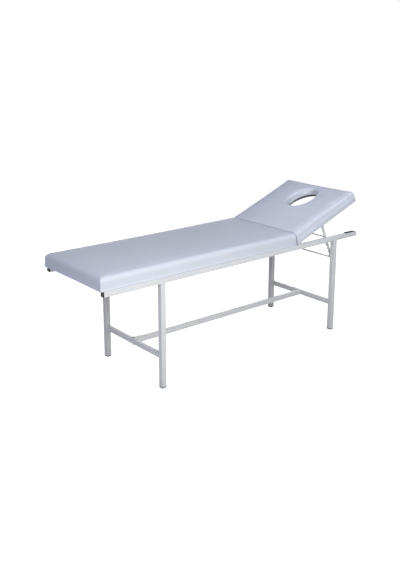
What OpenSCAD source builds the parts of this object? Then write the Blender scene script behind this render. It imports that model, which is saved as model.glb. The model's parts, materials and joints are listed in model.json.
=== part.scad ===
// A treatment couch in two padded sections on a frame of square steel tube. The head section is
// hinged, and a pair of notched arms props it on a fixed rod between the head legs.
// Lengths are in millimetres. X runs from the foot end to the head end, Y from the near side to
// the far side, Z up from the floor, and the origin is on the floor under the middle.

/* [Frame] */
// Width over the two side rails
frame_w = 570; // [500:1:660]
// Length of each side rail
rail_len = 1890; // [1750:1:2050]
// Height of the side rails' underside above the floor
rail_z = 587; // [500:1:700]
// Side of the square tube of the rails and legs
tube = 30; // [26:1:36]
// Wall of every tube
tube_wall = 1.5; // [1:0.1:2]
// Outer corner radius of every tube
tube_r = 3; // [2.5:0.5:5]
// Distance from the rails' foot end to the foot legs
foot_leg_at = 342; // [150:1:500]
// Distance from the rails' head end to the head legs
head_leg_at = 184; // [120:1:240]

/* [Lower rails] */
// Width of the cross rails and the stretcher
brace_w = 20; // [15:1:25]
// Height of the cross rails and the stretcher
brace_h = 30; // [20:1:40]
// Height of their underside above the floor
brace_z = 165; // [80:1:300]

/* [Deck tubes] */
// Side of the square tubes that join the rails under the main pad
deck_tube = 25; // [20:1:26]
// Distance from the rails' foot end to the middle deck tube
middle_tube_at = 830; // [600:1:1100]
// Distance from the hinge back to the last deck tube
hinge_tube_back = 92; // [80:1:150]

/* [Pads] */
// Width by which both pads stand past the rails on each side
pad_over = 3; // [0:0.5:20]
// Length by which the main pad stands past the rails at the foot
foot_overhang = 22; // [0:1:60]
// Distance from the rails' foot end to the headrest's hinge
hinge_at = 1352; // [1250:1:1400]
// Length of the headrest from the hinge to its head end
headrest_len = 560; // [500:1:600]
// Thickness of the plywood boards
board_t = 15; // [12:1:18]
// Thickness of the foam
foam_t = 58; // [40:1:70]
// Thickness of the vinyl cover
cover_t = 1.2; // [0.8:0.1:2]
// Rise of the top from its edge to its middle
crown = 3.5; // [0:0.5:8]
// Width of the rounded top edge
shoulder_w = 25; // [15:1:35]
// Height of the rounded top edge
shoulder_h = 28; // [15:1:35]
// Share of the rounded edge's width that is left where the pads meet
facing_share = 0.25; // [0.2:0.05:1]
// Plan radius of the pads' free corners
corner_r = 12; // [10:1:40]
// Plan radius of the corners where the pads meet
facing_corner_r = 6; // [5:1:20]
// Depth by which the sides draw in between the corners
side_bow_w = 2.5; // [0:0.5:4]
// Width of the hem that is turned under the boards
hem_w = 22; // [15:1:30]
// Gap between the rails' tops and the pads
pad_lift = 0.5; // [0.3:0.1:3]
// Angle by which the pads' facing ends lean away from each other
end_lean = 8; // [4:0.5:10]

/* [Face hole] */
// Length of the face hole
hole_len = 216; // [180:1:230]
// Width of the face hole
hole_w = 166; // [120:1:180]
// Distance from the headrest's head end to the hole's middle
hole_back = 178; // [170:1:220]
// Radius of the padded rim
rim_r = 14; // [8:1:20]
// Width by which the hole's lining spreads below the foam, to a wider hole in the board
flare_w = 24; // [10:1:30]
// Height above the underside at which the lining begins to spread
flare_h = 30; // [24:1:40]

/* [Headrest prop] */
// Angle of the raised headrest
tilt = 21; // [15:0.5:24]
// Diameter of the catch rod and of the spacer rod
rod_d = 10; // [8:0.5:12]
// Height of the catch rod's axis above the floor
catch_z = 476; // [465:1:490]
// Distance from the head legs' inner faces to the arms' middle planes
arm_in = 15; // [13:0.5:40]
// Width of an arm
arm_w = 20; // [18:1:24]
// Thickness of an arm
arm_t = 5; // [4:0.5:6]
// Number of notches in an arm
notch_count = 4; // [3:1:5]
// Distance from notch to notch
notch_pitch = 24; // [23.5:0.5:28]
// Distance from the hinge to the arms' pivots
pivot_at = 268; // [240:1:280]
// Distance of the pivots below the headrest's underside
pivot_drop = 18; // [16:1:22]
// Diameter of the arms' pivot pins
pivot_d = 8; // [6:0.5:10]
// Thickness of the rubber buffers that the lowered headrest lies on
buffer_t = 3; // [2:0.5:6]

/* [Hinges] */
// Diameter of the hinge pins
hinge_pin_d = 4; // [3:0.5:5]
// Thickness of the hinge leaves
leaf_t = 2; // [1.5:0.5:2.5]
// Width of a leaf, from the pin to its free edge
leaf_w = 52; // [48:1:60]
// Length of a hinge
hinge_len = 72; // [50:1:100]
// Distance from the frame's sides to the hinges' middles
hinge_in = 105; // [90:1:160]

/* [Hidden] */
$fn = 48;

// Colours
enamel = "#dfe1e6";
vinyl = "#c3c9da";
foam_yellow = "#e6dfc4";
plywood = "#c8a878";
black_plastic = "#1d1d20";
bare_steel = "#9a9da3";
dark_steel = "#55585e";

// Clearances
cut = 1;
run_gap = 0.05;

// Frame places
plug_flange = 3;
foot_pad_h = 7;
overall_len = foot_overhang + rail_len + plug_flange;
rail_x0 = foot_overhang - overall_len / 2;
rail_x1 = rail_x0 + rail_len;
rail_y = (frame_w - tube) / 2;
rail_top = rail_z + tube;
foot_leg_x = rail_x0 + foot_leg_at + tube / 2;
head_leg_x = rail_x1 - head_leg_at - tube / 2;
leg_len = rail_z - foot_pad_h;
inner_w = frame_w - 2 * tube;
tube_bore = tube - 2 * tube_wall;

// Pad places
pad_z = rail_top + pad_lift;
hinge_x = rail_x0 + hinge_at;
hinge_r = hinge_pin_d / 2 + leaf_t;
hinge_z = pad_z - hinge_r;
foam_gap = 0.3;
board_z = cover_t;
foam_z = board_z + board_t;
pad_t = foam_z + foam_gap + foam_t + cover_t;
hem_r = 5;
board_inset = hem_r + side_bow_w + foam_gap;
pad_w = frame_w + 2 * pad_over;
half_w = pad_w / 2;
hinge_y = frame_w / 2 - hinge_in;
shoulder_steps = 5;
shoulder_angle_step = 5;
corner_limit_share = 0.9;
top_shares = [0.28, 0.58, 0.86];
head_top_shares = [0.33, 0.67];
corner_steps = 3;
corner_growth_share = 0.5;

// The half gap between the pads: raising the headrest brings their facing ends together, and
// they still clear each other where the rounded edges begin.
pad_clear = 1.2;
function end_in(z) = z * tan(end_lean);
half_gap = pad_clear + max([for (a = [0:shoulder_angle_step:90])
    (top_z(a, 0) + hinge_r) * tan(tilt / 2) - facing_share * top_d(a, 0) - end_in(top_z(a, 0))]);
main_len = hinge_at + foot_overhang - half_gap;
main_x = -half_gap - main_len / 2;
head_len = headrest_len - half_gap;
head_x = half_gap + head_len / 2;
hole_x = headrest_len - hole_back;

// Prop places, in the plane of the arms
pivot_x = hinge_x + pivot_at * cos(tilt) + (pivot_drop - hinge_r) * sin(tilt);
pivot_z = hinge_z + pivot_at * sin(tilt) - (pivot_drop - hinge_r) * cos(tilt);
notch_play = 1.9;
notch_r = rod_d / 2 + notch_play;
seat_in = arm_w / 2;
reach = norm([head_leg_x - pivot_x, pivot_z - catch_z]);
seat_len = sqrt(reach * reach - seat_in * seat_in);
arm_lean = atan2(head_leg_x - pivot_x, pivot_z - catch_z) + asin(seat_in / reach);
arm_tail = 19;
spacer_at = 92;
spacer_tail_d = 6;
arm_y = inner_w / 2 - arm_in;
arm_span = 2 * arm_y;

// Small pieces
ear_t = 3;
ear_gap = 0.4;
ear_r = 9;
base_t = 3;
base_len = 66;
base_w = 28;
base_edge = 8;
base_side = 6;
pin_head_d = 12;
pin_head_t = 2.5;
pin_end = 1.5;
groove_in = 1;
clip_mouth_share = 0.67;
clip_w = 2;
clip_t = 1.2;
screw_d = 4;
screw_len = 12;
screw_tip = 1;
screw_head_d = 8;
screw_head_t = 2;
bolt_d = 6;
bolt_head_d = 12;
bolt_head_t = 4;
bolt_in = 135;
bolt_y = frame_w / 2 - bolt_in;
tee_flange_d = 19;
tee_flange_t = 1.5;
tee_barrel_d = 9;
washer_d = 20;
tongue_t = 3;
tongue_len = 62;
tongue_bolt_d = 8;
tongue_head_d = 13;
tongue_head_t = 5;
dome_share = 0.62;
buffer_len = 80;
buffer_w = 24;
buffer_back = 15;
plug_depth = 16;
plug_fit = 0.1;
plug_edge = 1.5;

// A rectangle with rounded corners, centred.
module rounded_bar(w, h, r) {
    square([w - 2 * r, h], center = true);
    square([w, h - 2 * r], center = true);
    for (x = [-1, 1], y = [-1, 1])
        translate([x * (w / 2 - r), y * (h / 2 - r)]) circle(r);
}

// The cut face of a rectangular tube.
module tube_face(w, h) {
    difference() {
        rounded_bar(w, h, tube_r);
        rounded_bar(w - 2 * tube_wall, h - 2 * tube_wall, max(tube_r - tube_wall, tube_wall / 2));
    }
}

// Tubes along X, Y and Z, centred on their axis. Those along Y are centred on their length too.
module tube_x(len, w, h) { rotate([90, 0, 90]) linear_extrude(len) tube_face(w, h); }
module tube_y(len, w, h) { rotate([90, 0, 0]) linear_extrude(len, center = true) tube_face(w, h); }
module tube_z(len, w, h) { linear_extrude(len) tube_face(w, h); }

module side_rail(y) {
    color(enamel) translate([rail_x0, y, rail_z + tube / 2]) tube_x(rail_len, tube, tube);
}
module side_rail_near() { side_rail(-rail_y); }
module side_rail_far() { side_rail(rail_y); }

module leg(x, y) {
    color(enamel) translate([x, y, foot_pad_h]) tube_z(leg_len, tube, tube);
}
module foot_leg_near() { leg(foot_leg_x, -rail_y); }
module foot_leg_far() { leg(foot_leg_x, rail_y); }
module head_leg_near() { leg(head_leg_x, -rail_y); }
module head_leg_far() { leg(head_leg_x, rail_y); }

// Cross rails stand on edge between the legs. The foot one is drilled for the stretcher's bolt.
module foot_cross_rail() {
    color(enamel) translate([foot_leg_x, 0, brace_z + brace_h / 2]) difference() {
        tube_y(inner_w, brace_w, brace_h);
        cylinder(brace_h + 2 * cut, d = tongue_bolt_d + 2 * run_gap, center = true);
    }
}
module head_cross_rail() {
    color(enamel) translate([head_leg_x, 0, brace_z + brace_h / 2])
        tube_y(inner_w, brace_w, brace_h);
}

// The stretcher runs from cross rail to cross rail, welded at the head and bolted at the foot
// through a flat tongue that laps over the foot cross rail.
stretcher_x0 = foot_leg_x + brace_w / 2;
stretcher_len = head_leg_x - foot_leg_x - brace_w;
module stretcher() {
    color(enamel) translate([stretcher_x0, 0, brace_z + brace_h / 2])
        tube_x(stretcher_len, brace_w, brace_h);
}
brace_top = brace_z + brace_h;
module stretcher_tongue() {
    color(enamel) translate([foot_leg_x, 0, brace_top]) linear_extrude(tongue_t) difference() {
        union() {
            circle(d = brace_w);
            translate([0, -brace_w / 2]) square([tongue_len - brace_w / 2, brace_w]);
        }
        circle(d = tongue_bolt_d + 2 * run_gap);
    }
}
module stretcher_bolt() {
    color(dark_steel) translate([foot_leg_x, 0, brace_z]) {
        translate([0, 0, -tongue_head_t - tongue_t])
            cylinder(brace_h + tongue_head_t + 2 * tongue_t, d = tongue_bolt_d);
        translate([0, 0, brace_h + tongue_t]) intersection() {
            cylinder(tongue_head_t, d = tongue_head_d);
            sphere(r = tongue_head_d * dome_share);
        }
    }
}
module stretcher_nut() {
    color(dark_steel) translate([foot_leg_x, 0, brace_z - tongue_head_t]) difference() {
        cylinder(tongue_head_t, d = tongue_head_d * 2 / sqrt(3), $fn = 6);
        translate([0, 0, -cut]) cylinder(tongue_head_t + 2 * cut, d = tongue_bolt_d + 2 * run_gap);
    }
}

// Deck tubes lie flush with the rails' tops and are drilled for the pad's bolts.
module deck_tube_at(x) {
    color(enamel) translate([x, 0, rail_top - deck_tube / 2]) difference() {
        tube_y(inner_w, deck_tube, deck_tube);
        for (y = [-bolt_y, bolt_y]) translate([0, y, 0])
            cylinder(deck_tube + 2 * cut, d = bolt_d + 2 * run_gap, center = true);
    }
}
deck_xs = [foot_leg_x, rail_x0 + middle_tube_at, hinge_x - hinge_tube_back];
module foot_deck_tube() { deck_tube_at(deck_xs[0]); }
module middle_deck_tube() { deck_tube_at(deck_xs[1]); }
module hinge_deck_tube() { deck_tube_at(deck_xs[2]); }

// A plastic plug along +Z: a flange of the tube's own outline and a ribbed stem in its bore.
rib_count = 3;
rib_in = 1;
module tube_plug(flange) {
    linear_extrude(flange - plug_edge) rounded_bar(tube, tube, tube_r);
    translate([0, 0, flange - plug_edge]) linear_extrude(plug_edge)
        rounded_bar(tube - 2 * plug_edge, tube - 2 * plug_edge, tube_r);
    translate([0, 0, -plug_depth]) linear_extrude(plug_depth)
        rounded_bar(tube_bore - 2 * rib_in, tube_bore - 2 * rib_in, tube_r - tube_wall / 2);
    for (k = [1:rib_count]) translate([0, 0, -plug_depth * k / (rib_count + 1)])
        linear_extrude(rib_in)
            rounded_bar(tube_bore - 2 * plug_fit, tube_bore - 2 * plug_fit, tube_r - tube_wall / 2);
}
module rail_end_plugs() {
    color(black_plastic) for (y = [-rail_y, rail_y]) {
        translate([rail_x1, y, rail_z + tube / 2]) rotate([0, 90, 0]) tube_plug(plug_flange);
        translate([rail_x0, y, rail_z + tube / 2]) rotate([0, -90, 0]) tube_plug(plug_flange);
    }
}
module leg_feet() {
    color(black_plastic) for (x = [foot_leg_x, head_leg_x], y = [-rail_y, rail_y])
        translate([x, y, foot_pad_h]) rotate([180, 0, 0]) tube_plug(foot_pad_h);
}

// The catch rod is welded between the head legs, and the arms' notches hook over it.
module catch_rod() {
    color(enamel) translate([head_leg_x, 0, catch_z]) rotate([90, 0, 0])
        cylinder(inner_w, d = rod_d, center = true);
}

// Rubber buffers on the rails' head ends, where the lowered headrest lies.
module rest_buffers() {
    color(black_plastic) for (y = [-rail_y, rail_y])
        translate([rail_x1 - buffer_back - buffer_len / 2, y, rail_top])
            linear_extrude(buffer_t) rounded_bar(buffer_len, buffer_w, buffer_w / 4);
}

// Cushion sections. top_d and top_z give the rounded top edge at an angle from 0, where the side
// ends, to 90, where the top begins, for a layer that lies g under the cover's outer face. Where
// the pads meet the rounding is narrower, so each ring grows there by end_grow. A section's rows
// are a ring's inset, height and growth.
function top_d(a, g) = shoulder_w - (shoulder_w - g) * cos(a);
function top_z(a, g) = pad_t - shoulder_h + (shoulder_h - g) * sin(a);
function rise(d) = crown * sin(90 * min(1, d / half_w));
function end_grow(d, g) = (1 - facing_share) * (min(d, shoulder_w) - g);
function shoulder(g) = [for (k = [0:shoulder_steps]) let (a = 90 * k / shoulder_steps)
    [top_d(a, g), top_z(a, g), end_grow(top_d(a, g), g)]];

// A rounded rectangle drawn in by d, anticlockwise from above, with sides that bow inwards. The
// end that faces the other pad is +X where end is 1: its corners are tighter, and it leans back.
function corner_arc(hx, hy, r, q) = [for (k = [0:corner_steps])
    let (a = 90 * (q + k / corner_steps))
    [(q == 0 || q == 3 ? 1 : -1) * (hx - r) + r * cos(a), (q < 2 ? 1 : -1) * (hy - r) + r * sin(a)]];
function side_points(p, q, n, pull) = [for (k = [1:n - 1])
    let (s = k / n, v = (q - p) / norm(q - p))
    p + (q - p) * s + [-v[1], v[0]] * pull * sin(180 * s)];
function plan_r(d, q, end) = d * corner_growth_share
    + ((q == 0 || q == 3) == (end > 0) ? facing_corner_r : corner_r);
function outline(len, end, d, nx, ny) =
    let (hx = len / 2 - d, hy = half_w - d, pull = side_bow_w * max(0, 1 - d / half_w),
        r_limit = min(hx, hy) * corner_limit_share,
        arcs = [for (q = [0:3]) corner_arc(hx, hy, min(plan_r(d, q, end), r_limit), q)])
    [for (q = [0:3]) each concat(arcs[q],
        side_points(arcs[q][corner_steps], arcs[(q + 1) % 4][0], q % 2 == 0 ? nx : ny, pull))];
function ring(len, x, end, row, nx, ny) =
    let (d = row[0], z = row[1], more = row[2] - end_in(z))
    [for (p = outline(len + more, end, d, nx, ny)) [x + end * more / 2 + p[0], p[1], z]];
function reversed(list) = [for (k = [len(list) - 1:-1:0]) list[k]];

// A skin over rings of equal count, running from the top down the outside. It is closed by a
// point at each end, or on itself where there are no ends. Each four-sided face is split from
// corner a to c, or from b to d so that a foam's faces lie flat against the cover's inside.
module skin(rings, ends, split_bd = false) {
    n = len(rings[0]);
    m = len(rings);
    last = len(ends) > 0 ? m - 2 : m - 1;
    walls = [for (j = [0:last], i = [0:n - 1])
        let (a = j * n + i, b = j * n + (i + 1) % n,
            c = ((j + 1) % m) * n + (i + 1) % n, d = ((j + 1) % m) * n + i)
        each split_bd ? [[a, b, d], [b, c, d]] : [[a, b, c], [a, c, d]]];
    tips = len(ends) > 0 ? [for (i = [0:n - 1])
        each [[m * n, (i + 1) % n, i],
            [(m - 1) * n + i, (m - 1) * n + (i + 1) % n, m * n + 1]]] : [];
    polyhedron(concat([for (r = rings) each r], ends), concat(walls, tips), convexity = 8);
}

// Main pad, in a frame with its origin over the hinge at the pads' underside.
main_nx = 8;
main_ny = 5;
function main_section(g) = [for (p = concat(shoulder(g), [for (s = top_shares)
    [shoulder_w + (half_w - shoulder_w) * s, pad_t - g, end_grow(shoulder_w, g)]]))
    [p[0], p[1] + rise(p[0]), p[2]]];
function main_rings(section) =
    [for (row = section) ring(main_len, main_x, 1, row, main_nx, main_ny)];
module main_place() { translate([hinge_x, 0, pad_z]) children(); }
module board_face(len, x, end) {
    lean = end_in(foam_z);
    translate([x - end * lean / 2, 0])
        rounded_bar(len - lean - 2 * board_inset, pad_w - 2 * board_inset, corner_r);
}
module main_board() {
    color(plywood) main_place() difference() {
        translate([0, 0, board_z]) linear_extrude(board_t) board_face(main_len, main_x, 1);
        for (x = deck_xs, y = [-bolt_y, bolt_y]) translate([x - hinge_x, y, 0]) {
            cylinder(pad_t, d = tee_barrel_d + 2 * run_gap);
            translate([0, 0, foam_z - tee_flange_t]) cylinder(board_t, d = tee_flange_d + 2 * run_gap);
        }
        translate([0, 0, board_z]) leaf_screw_places(-1) cylinder(screw_len, d = screw_d + 2 * run_gap);
    }
}
module main_foam() {
    g = cover_t + foam_gap;
    color(foam_yellow) main_place()
        skin(concat(reversed(main_rings(main_section(g))), main_rings([[g, foam_z, 0]])),
            [[main_x, 0, pad_t - g + crown], [main_x, 0, foam_z]], true);
}
function hem(g) = [[hem_w, g, 0], [hem_r, g, 0], [g, hem_r, 0]];
module main_cover() {
    color(vinyl) main_place()
        skin(concat(reversed(main_rings(main_section(0))), main_rings(reversed(hem(0))),
            main_rings(hem(cover_t)), main_rings(main_section(cover_t))),
            [[main_x, 0, pad_t + crown], [main_x, 0, pad_t - cover_t + crown]]);
}

// Bolts from below the deck tubes pass through thick rubber washers into tee nuts in the board.
module deck_bolt_places() {
    for (x = deck_xs, y = [-bolt_y, bolt_y]) translate([x, y, rail_top]) children();
}
washer_h = pad_lift + cover_t;
module pad_washers() {
    color(black_plastic) deck_bolt_places() difference() {
        cylinder(washer_h, d = washer_d);
        translate([0, 0, -cut]) cylinder(washer_h + 2 * cut, d = bolt_d + 2 * run_gap);
    }
}
bolt_grip = board_t - tee_flange_t;
module pad_bolts() {
    color(bare_steel) deck_bolt_places() translate([0, 0, -deck_tube]) {
        cylinder(deck_tube + washer_h + bolt_grip, d = bolt_d);
        translate([0, 0, -bolt_head_t]) cylinder(bolt_head_t, d = bolt_head_d);
    }
}
module tee_nuts() {
    color(bare_steel) deck_bolt_places() translate([0, 0, washer_h]) difference() {
        union() {
            cylinder(board_t, d = tee_barrel_d);
            translate([0, 0, board_t - tee_flange_t]) cylinder(tee_flange_t, d = tee_flange_d);
        }
        translate([0, 0, -cut]) cylinder(board_t + 2 * cut, d = bolt_d + 2 * run_gap);
    }
}

// Butt hinges under the boards: three fixed knuckles and two moving ones round each pin.
knuckle_count = 5;
knuckle_gap = 0.3;
knuckle_len = hinge_len / knuckle_count;
leaf_screw_back = 9;
leaf_screw_pitch = 26;
module hinge_places() {
    for (y = [-hinge_y, hinge_y]) translate([0, y, 0]) children();
}
module leaf_screw_places(side) {
    hinge_places() for (k = [-1, 0, 1])
        translate([side * (leaf_w - leaf_screw_back), k * leaf_screw_pitch, 0]) children();
}
module hinge_leaf(side, first) {
    edge = hinge_r + 2 * knuckle_gap;
    difference() {
        union() {
            for (k = [first:2:knuckle_count - 1]) {
                y = (k - knuckle_count / 2) * knuckle_len + knuckle_gap / 2;
                translate([0, y, -hinge_r]) rotate([-90, 0, 0])
                    cylinder(knuckle_len - knuckle_gap, r = hinge_r);
                translate([side > 0 ? 0 : -edge - cut, y, -leaf_t])
                    cube([edge + cut, knuckle_len - knuckle_gap, leaf_t]);
            }
            translate([side > 0 ? edge : -leaf_w, -hinge_len / 2 + knuckle_gap / 2, -leaf_t])
                cube([leaf_w - edge, hinge_len - knuckle_gap, leaf_t]);
        }
        translate([0, 0, -hinge_r]) rotate([90, 0, 0])
            cylinder(hinge_len + 2 * cut, d = hinge_pin_d + 2 * run_gap, center = true);
        for (k = [-1, 0, 1])
            translate([side * (leaf_w - leaf_screw_back), k * leaf_screw_pitch, -leaf_t - cut])
                cylinder(leaf_t + 2 * cut, d = screw_d + 2 * run_gap);
    }
}
module leaf_screw() {
    translate([0, 0, -leaf_t]) cylinder(leaf_t + cover_t + screw_len - screw_tip, d = screw_d);
    translate([0, 0, -leaf_t - screw_head_t]) cylinder(screw_head_t, d1 = screw_d, d2 = screw_head_d);
}
pin_cap_t = 1.5;
pin_cap_share = 1.5;
pin_cap_d = hinge_pin_d * pin_cap_share;
module fixed_hinge_leaves() { color(bare_steel) main_place() hinge_places() hinge_leaf(-1, 0); }
module fixed_leaf_screws() { color(dark_steel) main_place() leaf_screw_places(-1) leaf_screw(); }
module hinge_pins() {
    color(dark_steel) translate([hinge_x, 0, hinge_z]) hinge_places() rotate([90, 0, 0]) {
        cylinder(hinge_len, d = hinge_pin_d, center = true);
        for (s = [-1, 1]) translate([0, 0, s * (hinge_len + pin_cap_t) / 2])
            cylinder(pin_cap_t, d = pin_cap_d, center = true);
    }
}
module headrest_place() {
    translate([hinge_x, 0, hinge_z]) rotate([0, -tilt, 0]) translate([0, 0, hinge_r]) children();
}
module moving_hinge_leaves() { color(bare_steel) headrest_place() hinge_places() hinge_leaf(1, 1); }
module moving_leaf_screws() { color(dark_steel) headrest_place() leaf_screw_places(1) leaf_screw(); }

// Headrest: a board and foam with an oval hole for the face, in one cover that lines the hole.
head_nx = 6;
head_ny = 6;
head_n = 2 * (head_nx + head_ny) + 4 * corner_steps;
head_mid = 2 * corner_steps + head_nx + head_ny / 2;
function hole_ring(h, z) = [for (i = [0:head_n - 1]) let (f = 180 + 360 * (i - head_mid) / head_n)
    [hole_x + (hole_len / 2 + h) * cos(f), (hole_w / 2 + h) * sin(f), z]];
function head_rings(section) =
    [for (row = section) ring(head_len, head_x, -1, row, head_nx, head_ny)];
function hole_rings(section) = [for (p = section) hole_ring(p[0], p[1])];
rim_steps = 2;
function rim(g) = [for (k = [0:rim_steps]) let (a = 90 * k / rim_steps)
    [rim_r - (rim_r - g) * cos(a), pad_t - rim_r + (rim_r - g) * sin(a)]];
function head_top(g) =
    let (p = head_rings([[shoulder_w, pad_t - g, end_grow(shoulder_w, g)]])[0],
        q = hole_ring(rim_r, pad_t - g))
    [for (s = head_top_shares) p * (1 - s) + q * s + [for (k = p) [0, 0, crown * sin(180 * s)]]];
hole_hem_w = 14;
hole_hem_r = 3;
function flare_d(g, z) = g + flare_w * (flare_h + g / 2 - z) / (flare_h - hole_hem_r);
function hole_hem(g) = [[g, flare_h + g / 2], [flare_w + g, hole_hem_r + g / 2],
    [flare_w + hole_hem_r, g], [flare_w + hole_hem_w, g]];
module headrest_board() {
    color(plywood) headrest_place() difference() {
        translate([0, 0, board_z]) linear_extrude(board_t) difference() {
            board_face(head_len, head_x, -1);
            polygon([for (p = hole_ring(flare_w + hole_hem_r + foam_gap, 0)) [p[0], p[1]]]);
        }
        translate([0, 0, board_z]) leaf_screw_places(1) cylinder(screw_len, d = screw_d + 2 * run_gap);
        translate([0, 0, board_z - cut]) bracket_screw_places()
            cylinder(screw_len + cut, d = screw_d + 2 * run_gap);
    }
}
module headrest_foam() {
    g = cover_t + foam_gap;
    color(foam_yellow) headrest_place()
        skin(concat(reversed(head_rings(shoulder(g))), head_rings([[g, foam_z, 0]]),
            hole_rings([[flare_d(g, foam_z), foam_z], [g, flare_h + g / 2]]), hole_rings(rim(g)),
            reversed(head_top(g))), [], true);
}
module headrest_cover() {
    color(vinyl) headrest_place()
        skin(concat(reversed(head_rings(shoulder(0))), head_rings(reversed(hem(0))),
            head_rings(hem(cover_t)), head_rings(shoulder(cover_t)), head_top(cover_t),
            reversed(hole_rings(rim(cover_t))), hole_rings(hole_hem(cover_t)),
            reversed(hole_rings(hole_hem(0))), hole_rings(rim(0)), reversed(head_top(0))), []);
}

// Clevis brackets under the headrest, with a pin and a clip each, carry the two arms.
ear_y = arm_t / 2 + ear_gap;
bracket_screw_x = base_len / 2 - base_edge;
bracket_screw_y = base_w / 2 - base_side;
module bracket_screw_places() {
    for (s = [-1, 1], x = [-bracket_screw_x, bracket_screw_x], y = [-1, 1])
        translate([pivot_at + x, s * arm_y + y * bracket_screw_y, 0]) children();
}
module arm_brackets() {
    color(bare_steel) headrest_place() difference() {
        for (s = [-1, 1]) translate([pivot_at, s * arm_y, 0]) {
            translate([-base_len / 2, -base_w / 2, board_z - base_t]) cube([base_len, base_w, base_t]);
            for (e = [-1, 1]) translate([0, e * (ear_y + ear_t / 2), 0]) rotate([90, 0, 0])
                linear_extrude(ear_t, center = true) {
                    translate([0, -pivot_drop]) circle(ear_r);
                    translate([-ear_r, -pivot_drop]) square([2 * ear_r, pivot_drop + board_z - base_t]);
                }
        }
        translate([pivot_at, 0, -pivot_drop]) rotate([90, 0, 0])
            cylinder(arm_span + base_w, d = pivot_d + 2 * run_gap, center = true);
        translate([0, 0, board_z - base_t - cut]) bracket_screw_places()
            cylinder(base_t + 2 * cut, d = screw_d + 2 * run_gap);
    }
}
module bracket_screws() {
    color(dark_steel) headrest_place() translate([0, 0, board_z - base_t]) bracket_screw_places() {
        cylinder(base_t + screw_len - screw_tip, d = screw_d);
        translate([0, 0, -screw_head_t]) cylinder(screw_head_t, d1 = screw_d, d2 = screw_head_d);
    }
}
pin_out = ear_y + ear_t;
groove_at = pin_out + clip_t / 2 + run_gap;
pin_tail = groove_at + clip_t / 2 + pin_end;
groove_d = pivot_d - 2 * groove_in;
mouth = groove_d * clip_mouth_share;
module pivot_place(s) {
    translate([pivot_x, s * arm_y, pivot_z]) rotate([-90 * s, 0, 0]) children();
}
module arm_pivot_pins() {
    color(bare_steel) for (s = [-1, 1]) pivot_place(s) difference() {
        union() {
            translate([0, 0, -pin_tail]) cylinder(pin_tail + pin_out, d = pivot_d);
            translate([0, 0, pin_out]) cylinder(pin_head_t, d = pin_head_d);
        }
        translate([0, 0, -groove_at]) difference() {
            cylinder(clip_t + 2 * run_gap, d = pivot_d + cut, center = true);
            cylinder(clip_t + cut, d = groove_d, center = true);
        }
    }
}
module pivot_clips() {
    color(dark_steel) for (s = [-1, 1]) pivot_place(s) translate([0, 0, -groove_at]) difference() {
        cylinder(clip_t, d = pivot_d + 2 * clip_w, center = true);
        cylinder(clip_t + cut, d = groove_d + 2 * run_gap, center = true);
        translate([0, -mouth / 2, -clip_t]) cube([pivot_d + clip_w, mouth, 2 * clip_t]);
    }
}

// An arm lies in the XZ plane with its pivot at the origin. The half-round notches in its foot-side
// edge are wider than the rod, so that the arm can swing off it as the headrest comes down.
module prop_arm(s) {
    color(enamel) translate([pivot_x, s * arm_y, pivot_z]) rotate([90, -arm_lean, 0])
        linear_extrude(arm_t, center = true) difference() {
            union() {
                circle(d = arm_w);
                translate([-arm_w / 2, -seat_len - arm_tail + arm_w / 2])
                    square([arm_w, seat_len + arm_tail - arm_w / 2]);
                translate([0, -seat_len - arm_tail + arm_w / 2]) circle(d = arm_w);
            }
            circle(d = pivot_d + 2 * run_gap);
            translate([0, -spacer_at]) circle(d = spacer_tail_d + 2 * run_gap);
            for (k = [0:notch_count - 1])
                translate([-seat_in, -seat_len + k * notch_pitch]) circle(notch_r);
        }
}
module prop_arm_near() { prop_arm(-1); }
module prop_arm_far() { prop_arm(1); }
rivet_t = 2;
rivet_d = 10;
module arm_spacer_rod() {
    color(enamel) translate([pivot_x, 0, pivot_z]) rotate([0, -arm_lean, 0])
        translate([0, 0, -spacer_at]) rotate([90, 0, 0]) {
            cylinder(arm_span - arm_t, d = rod_d, center = true);
            cylinder(arm_span + arm_t, d = spacer_tail_d, center = true);
            for (s = [-1, 1]) translate([0, 0, s * (arm_span + arm_t + rivet_t) / 2])
                cylinder(rivet_t, d = rivet_d, center = true);
        }
}

side_rail_near();
side_rail_far();
foot_leg_near();
foot_leg_far();
head_leg_near();
head_leg_far();
foot_cross_rail();
head_cross_rail();
stretcher();
stretcher_tongue();
stretcher_bolt();
stretcher_nut();
foot_deck_tube();
middle_deck_tube();
hinge_deck_tube();
rail_end_plugs();
leg_feet();
catch_rod();
rest_buffers();
main_board();
main_foam();
main_cover();
pad_washers();
pad_bolts();
tee_nuts();
fixed_hinge_leaves();
fixed_leaf_screws();
hinge_pins();
moving_hinge_leaves();
moving_leaf_screws();
headrest_board();
headrest_foam();
headrest_cover();
arm_brackets();
bracket_screws();
arm_pivot_pins();
pivot_clips();
prop_arm_near();
prop_arm_far();
arm_spacer_rod();
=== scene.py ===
"""A treatment couch: two vinyl pads on a white steel frame, with the headrest propped by arms."""
import json
import math

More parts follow.
